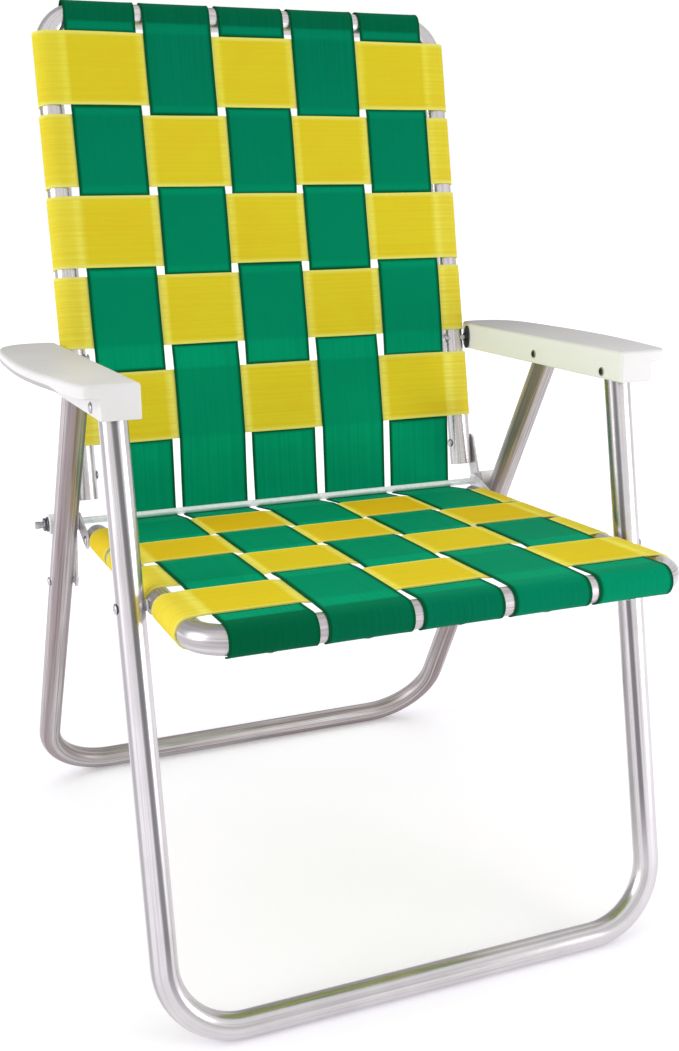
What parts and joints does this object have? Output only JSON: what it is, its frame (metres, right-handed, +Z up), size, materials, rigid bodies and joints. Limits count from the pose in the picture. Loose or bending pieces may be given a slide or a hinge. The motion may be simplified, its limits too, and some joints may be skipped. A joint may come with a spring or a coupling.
{
  "type": "folding lawn chair",
  "caption": "Folding lawn chair with a bent aluminium tube frame, woven green and yellow webbing on seat and back, and moulded white arms.",
  "frame": {"origin": "on the floor under the middle of the bounding box", "axes": "+X to the sitter's left, +Y to the back of the chair, +Z up"},
  "size_m": [0.626, 0.6512, 0.9322],
  "materials": {
    "tube_aluminium": "polished",
    "white_plastic": "satin moulded",
    "green_web": "ribbed woven plastic",
    "yellow_web": "ribbed woven plastic",
    "steel": "zinc plated",
    "dark_plastic": "matte"
  },
  "bodies": {
    "back": {"back_frame": "tube_aluminium", "back_web_1": "green_web", "back_web_2": "green_web", "back_web_3": "green_web", "back_web_4": "green_web", "back_web_5": "green_web", "back_cross_web_1": "yellow_web", "back_cross_web_2": "yellow_web", "back_cross_web_3": "yellow_web", "back_cross_web_4": "yellow_web", "back_cross_web_5": "yellow_web", "hinge_rod": "steel", "left_back_hinge_plate": "steel", "left_stop_bush": "white_plastic", "left_rod_washer": "steel", "left_rod_nut": "steel", "left_back_plate_rivet": "steel", "left_arm_back_rivet": "steel", "right_back_hinge_plate": "steel", "right_stop_bush": "white_plastic", "right_rod_washer": "steel", "right_rod_nut": "steel", "right_back_plate_rivet": "steel", "right_arm_back_rivet": "steel"},
    "seat": {"seat_frame": "tube_aluminium", "seat_web_1": "green_web", "seat_web_2": "green_web", "seat_web_3": "green_web", "seat_web_4": "green_web", "seat_web_5": "green_web", "seat_cross_web_1": "yellow_web", "seat_cross_web_2": "yellow_web", "seat_cross_web_3": "yellow_web", "seat_cross_web_4": "yellow_web", "left_seat_hinge_plate": "steel", "left_seat_pivot_spacer": "white_plastic", "left_seat_plate_rivet": "steel", "right_seat_hinge_plate": "steel", "right_seat_pivot_spacer": "white_plastic", "right_seat_plate_rivet": "steel"},
    "front_legs": {"front_leg_frame": "tube_aluminium", "left_seat_pivot_rivet": "steel", "right_seat_pivot_rivet": "steel"},
    "rear_legs": {"rear_leg_frame": "tube_aluminium", "left_link_rivet": "steel", "right_link_rivet": "steel"},
    "arms": {"left_arm": "white_plastic", "left_arm_front_rivet": "steel", "left_arm_rear_rivet": "steel", "left_arm_back_spacer": "dark_plastic", "right_arm": "white_plastic", "right_arm_front_rivet": "steel", "right_arm_rear_rivet": "steel", "right_arm_back_spacer": "dark_plastic"},
    "links": {"left_link": "tube_aluminium", "right_link": "tube_aluminium"}
  },
  "joints": [
    {"name": "seat_fold", "type": "hinge", "parent": "back", "child": "seat", "pos_m": [0, 0.11834, 0.39245], "axis": [-1, 0, 0], "range_deg": [0, 86]},
    {"name": "front_leg_fold", "type": "hinge", "parent": "seat", "child": "front_legs", "pos_m": [0, -0.18592, 0.397], "axis": [-1, 0, 0], "range_deg": [-86, 0]},
    {"name": "arm_fold", "type": "hinge", "parent": "back", "child": "arms", "pos_m": [0, 0.15513, 0.56261], "axis": [-1, 0, 0], "range_deg": [0, 86]},
    {"name": "rear_leg_fold", "type": "hinge", "parent": "arms", "child": "rear_legs", "pos_m": [0, -0.0101, 0.56509], "axis": [-1, 0, 0], "range_deg": [-43.5, 0]},
    {"name": "link_turn", "type": "hinge", "parent": "back", "child": "links", "pos_m": [0, 0.11834, 0.39245], "axis": [-1, 0, 0], "range_deg": [0, 163.66]}
  ],
  "couplings": [
    {"joint": "front_leg_fold", "follows": "seat_fold", "ratio": -1},
    {"joint": "arm_fold", "follows": "seat_fold", "ratio": 1},
    {"joint": "rear_leg_fold", "follows": "seat_fold", "ratio": -0.50569},
    {"joint": "link_turn", "follows": "seat_fold", "ratio": 1.9029}
  ]
}
